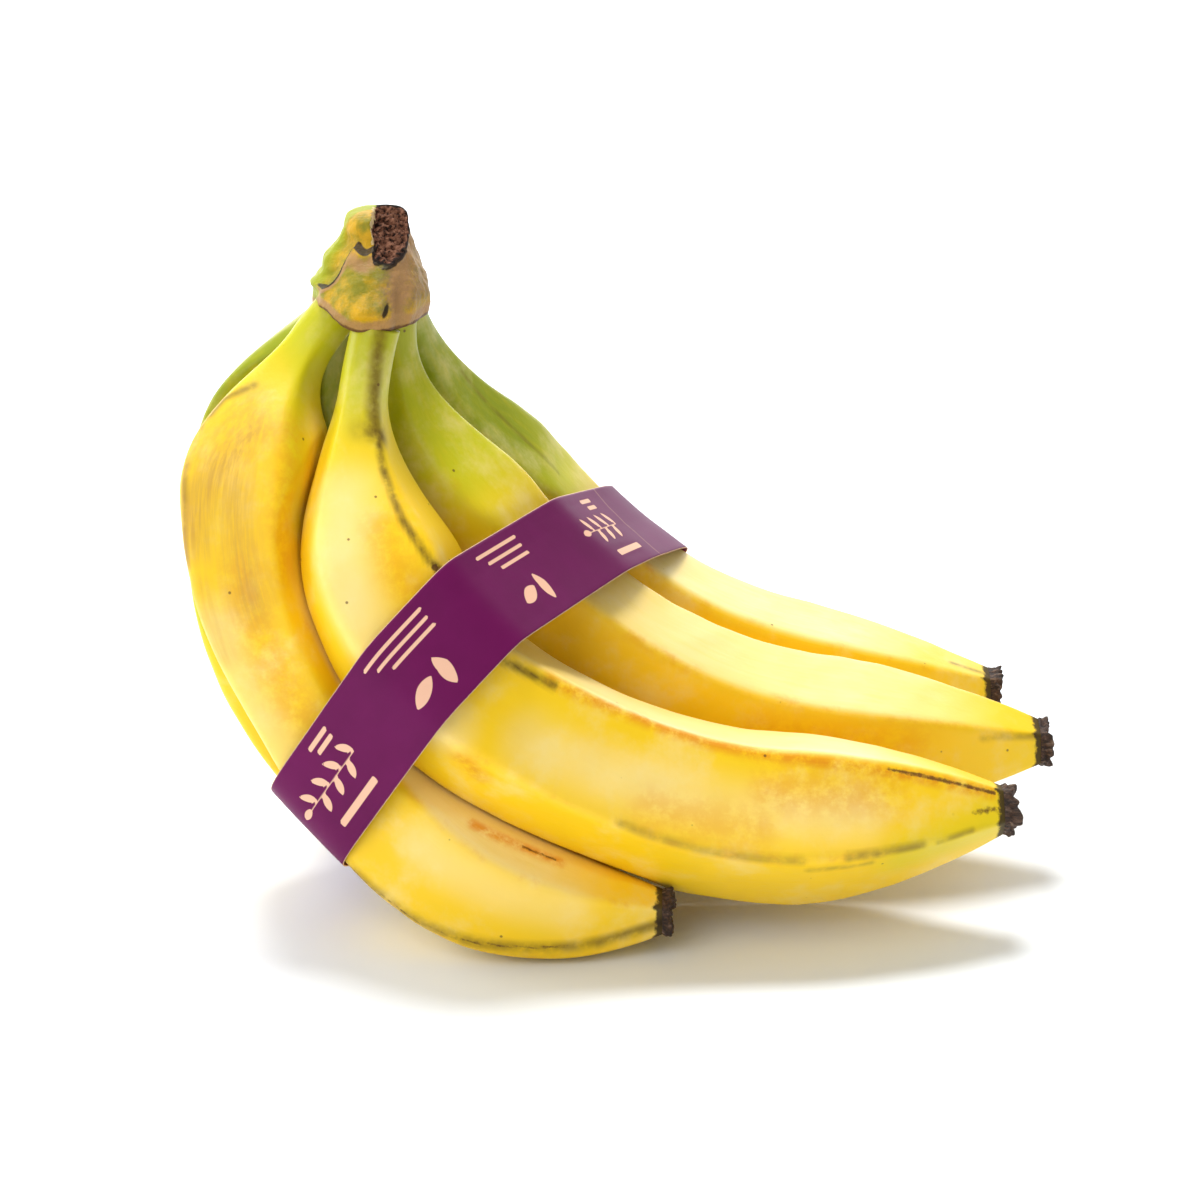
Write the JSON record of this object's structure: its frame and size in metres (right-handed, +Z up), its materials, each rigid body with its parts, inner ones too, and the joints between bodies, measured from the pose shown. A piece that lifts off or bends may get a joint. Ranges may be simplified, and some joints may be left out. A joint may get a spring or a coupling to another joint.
{
  "type": "bunch of bananas",
  "caption": "Bunch of curved ripe bananas on their crown, lying on its outer fingers, with a plain paper band around the middle.",
  "frame": {"origin": "middle of the footprint, on the surface that the bunch rests on", "axes": "+Z up, +X from the crown's side to the finger tips, +Y from the front fingers to the rear ones"},
  "size_m": [0.2062, 0.131, 0.1603],
  "materials": {
    "ripe_peel": "waxy peel, satin, yellow with brown marks and a green neck",
    "green_peel": "waxy peel, satin, green neck turning yellow",
    "crown_skin": "olive brown drying skin with a dark cut face",
    "band_paper": "coated paper, plum, semi-gloss"
  },
  "bodies": {
    "root": {"crown": "crown_skin", "finger_front_inner": "ripe_peel", "finger_front_outer": "ripe_peel", "finger_middle_inner": "ripe_peel", "finger_middle_outer": "green_peel", "finger_rear_inner": "green_peel", "finger_rear_outer": "green_peel", "paper_band": "band_paper"}
  },
  "joints": []
}
